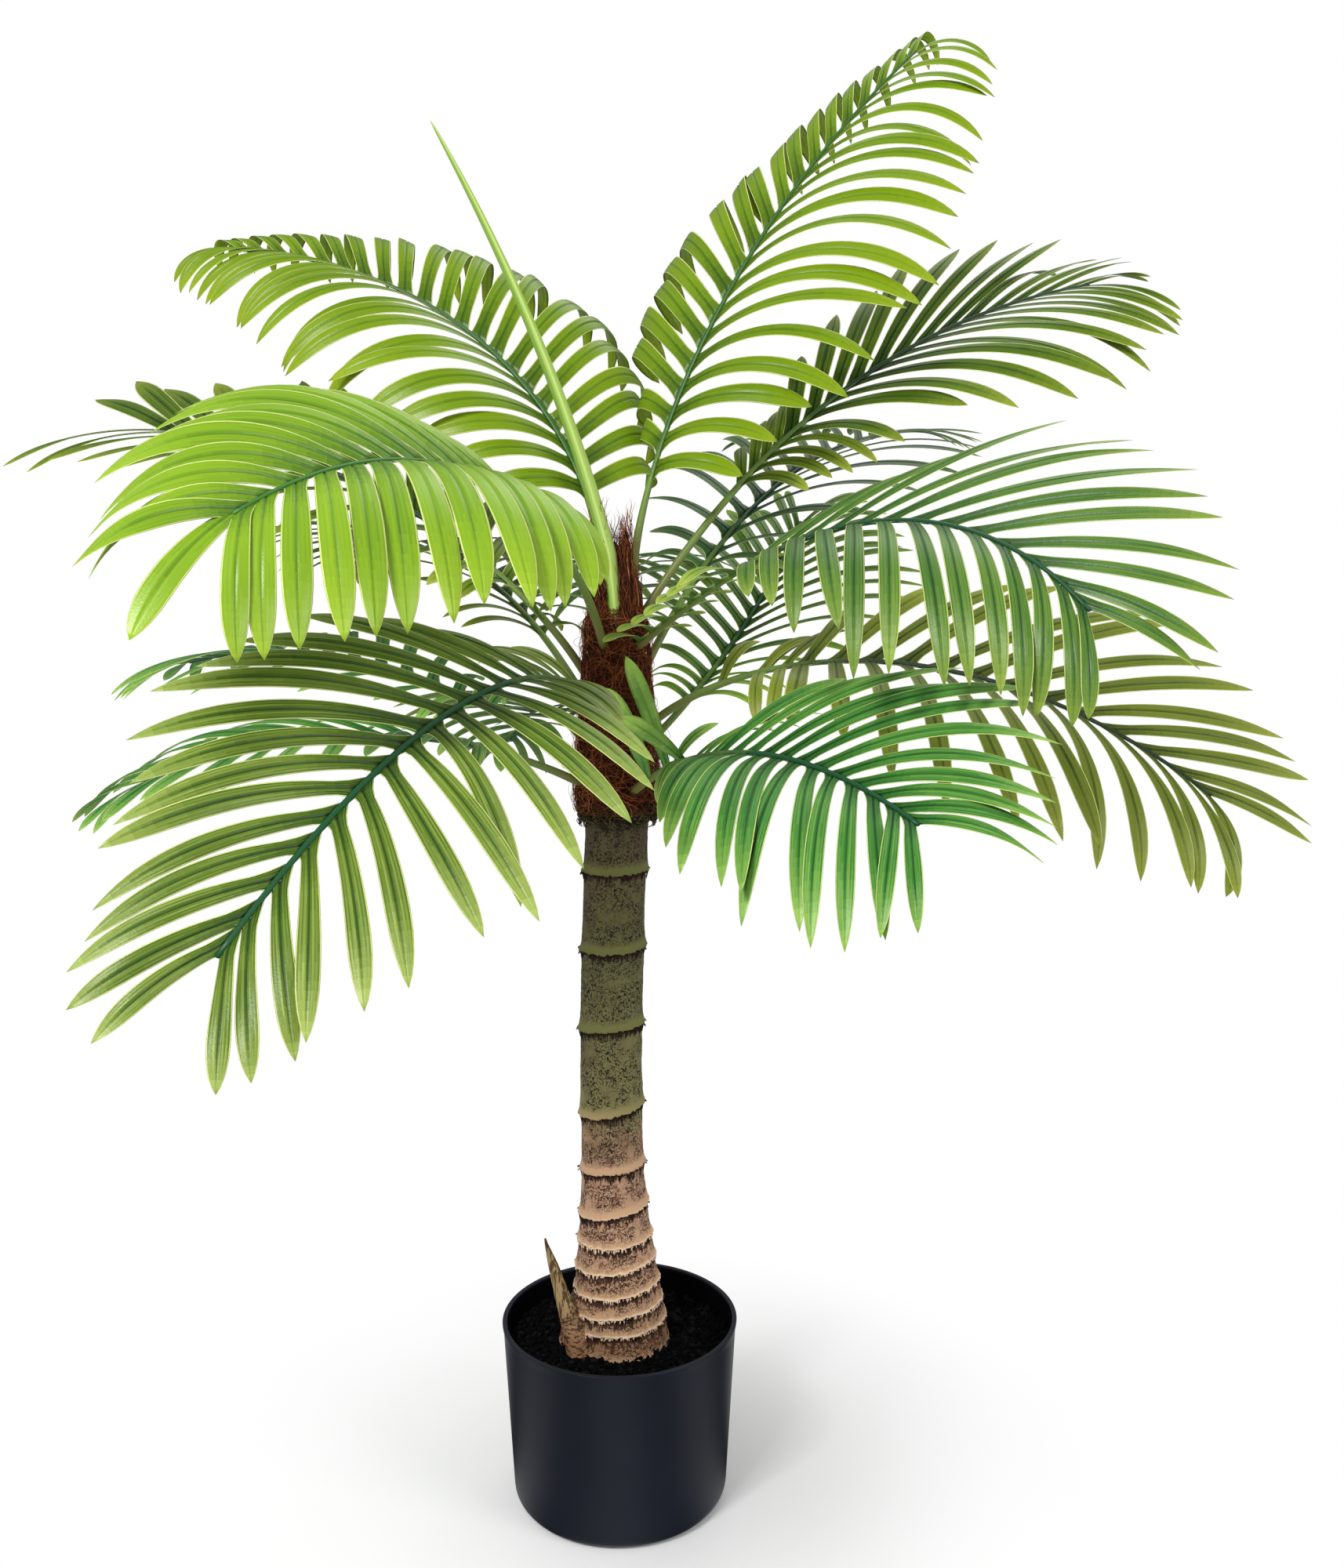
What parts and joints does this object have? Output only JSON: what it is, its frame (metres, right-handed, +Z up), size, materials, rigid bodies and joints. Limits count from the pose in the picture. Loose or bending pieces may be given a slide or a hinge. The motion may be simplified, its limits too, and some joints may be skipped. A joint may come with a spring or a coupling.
{
  "type": "potted areca palm",
  "caption": "Artificial feather palm with arching fronds on a slim ringed trunk, its head wrapped in coir fibre, standing in a plain round black pot.",
  "frame": {"origin": "middle of the pot's flat underside, on the surface it stands on", "axes": "+Z up along the trunk, +X to the right and -Y towards the viewer in the usual front view"},
  "size_m": [0.8995, 0.983, 1.1118],
  "materials": {
    "pot_black": "satin",
    "soil_black": "rough",
    "trunk_bark": "matt",
    "coir_brown": "coarse fibre",
    "leaf_bright": "satin",
    "leaf_mid": "satin",
    "leaf_dark": "satin"
  },
  "bodies": {
    "root": {"fibre_wrap": "coir_brown", "frond_back": "leaf_dark", "frond_back_left": "leaf_dark", "frond_back_right": "leaf_dark", "frond_far_right": "leaf_mid", "frond_left_back": "leaf_dark", "frond_left_front": "leaf_bright", "frond_left_high": "leaf_bright", "frond_low_back": "leaf_dark", "frond_low_left": "leaf_dark", "frond_low_left_back": "leaf_dark", "frond_low_left_front": "leaf_mid", "frond_low_right_front": "leaf_mid", "frond_right_back": "leaf_dark", "frond_right_front": "leaf_mid", "frond_right_inner": "leaf_dark", "frond_right_tall": "leaf_bright", "pot": "pot_black", "side_shoot": "trunk_bark", "soil": "soil_black", "spear_leaf": "leaf_bright", "trunk": "trunk_bark"}
  },
  "joints": []
}
